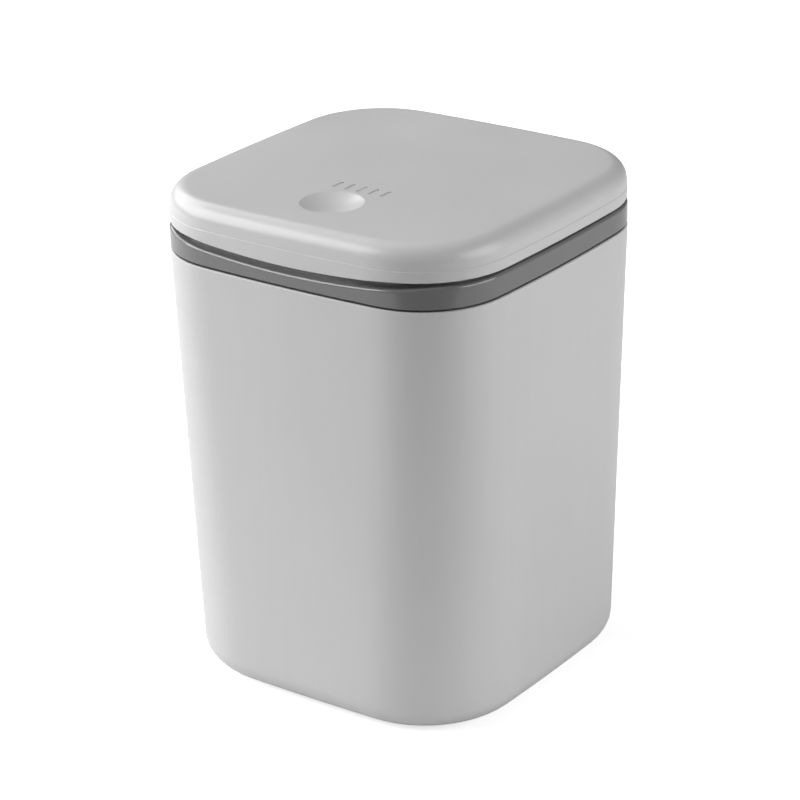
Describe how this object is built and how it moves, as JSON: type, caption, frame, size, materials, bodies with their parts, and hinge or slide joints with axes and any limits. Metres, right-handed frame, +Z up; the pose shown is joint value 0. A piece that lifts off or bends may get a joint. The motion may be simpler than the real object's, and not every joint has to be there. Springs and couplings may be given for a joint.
{
  "type": "push top countertop bin",
  "caption": "Small square countertop waste bin with rounded corners, a drop-in collar and a hinged lid that pops open when its dimpled front is pressed.",
  "frame": {"origin": "on the surface the bin stands on, under the middle of the bin", "axes": "+Z up, -Y the front with the thumb dimple, +Y the hinge side, +X to the right seen from the front"},
  "size_m": [0.1406, 0.1405, 0.1901],
  "materials": {
    "body_plastic": "satin light grey injection-moulded plastic",
    "lid_plastic": "satin light grey, slightly glossier than the bucket",
    "collar_plastic": "glossy mid grey",
    "latch_plastic": "fine matt grey",
    "slider_plastic": "natural low-friction plastic, slightly waxy",
    "steel": "drawn and zinc-plated steel",
    "rubber": "soft matt dark grey"
  },
  "bodies": {
    "bucket": {"outer_body": "body_plastic", "foot_pad_1": "rubber", "foot_pad_2": "rubber", "foot_pad_3": "rubber", "foot_pad_4": "rubber"},
    "collar": {"collar_frame": "collar_plastic", "latch_housing": "latch_plastic", "latch_cam_pin": "steel", "latch_spring": "steel", "latch_screws": "steel", "hinge_pin": "steel", "hinge_spring_left": "steel", "hinge_spring_right": "steel"},
    "lid": {"lid_shell": "lid_plastic", "lid_panel": "lid_plastic", "lid_striker": "slider_plastic", "lid_screws": "steel", "lid_bumper_left": "rubber", "lid_bumper_right": "rubber"},
    "slider": {"latch_slider": "slider_plastic"}
  },
  "joints": [
    {"name": "collar_lift", "type": "slide", "parent": "bucket", "child": "collar", "axis": [0, 0, 1], "range_m": [0, 0.03]},
    {"name": "lid_hinge", "type": "hinge", "parent": "collar", "child": "lid", "pos_m": [0, 0.0654, 0.1798], "axis": [-1, 0, 0], "range_deg": [-0.53, 84], "deforming": ["hinge_spring_left", "hinge_spring_right"]},
    {"name": "latch_press", "type": "slide", "parent": "collar", "child": "slider", "axis": [0, 0, 1], "range_m": [-0.00113, 0], "stiffness_N_per_m": 400, "deforming": ["latch_spring"]}
  ]
}
